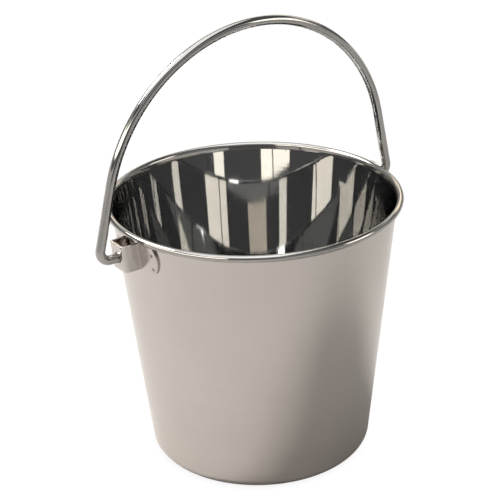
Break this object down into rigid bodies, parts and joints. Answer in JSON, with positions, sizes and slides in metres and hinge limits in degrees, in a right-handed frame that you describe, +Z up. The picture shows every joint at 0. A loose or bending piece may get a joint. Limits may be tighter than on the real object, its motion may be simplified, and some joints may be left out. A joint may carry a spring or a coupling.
{
  "type": "feed bucket",
  "caption": "Round tapered stainless steel pail with a rolled rim, welded strap ears and a plain swinging wire bail handle.",
  "frame": {"origin": "on the pail's axis, at floor level under the foot ring", "axes": "+Z up through the mouth, X along the bail's hinge with ear_right on +X, -Y towards the side the bail leans to"},
  "size_m": [0.3068, 0.254, 0.3897],
  "materials": {
    "pail_steel": "polished stainless steel, mirror bright inside and softer outside",
    "ear_steel": "satin stainless steel strip",
    "rod_steel": "polished stainless steel rod"
  },
  "bodies": {
    "pail": {"pail_body": "pail_steel", "ear_left": "ear_steel", "ear_right": "ear_steel"},
    "bail": {"bail": "rod_steel"}
  },
  "joints": [
    {"name": "bail_swing", "type": "hinge", "parent": "pail", "child": "bail", "pos_m": [0, 0, 0.2148], "axis": [1, 0, 0], "range_deg": [-141.9, 137.2]}
  ]
}
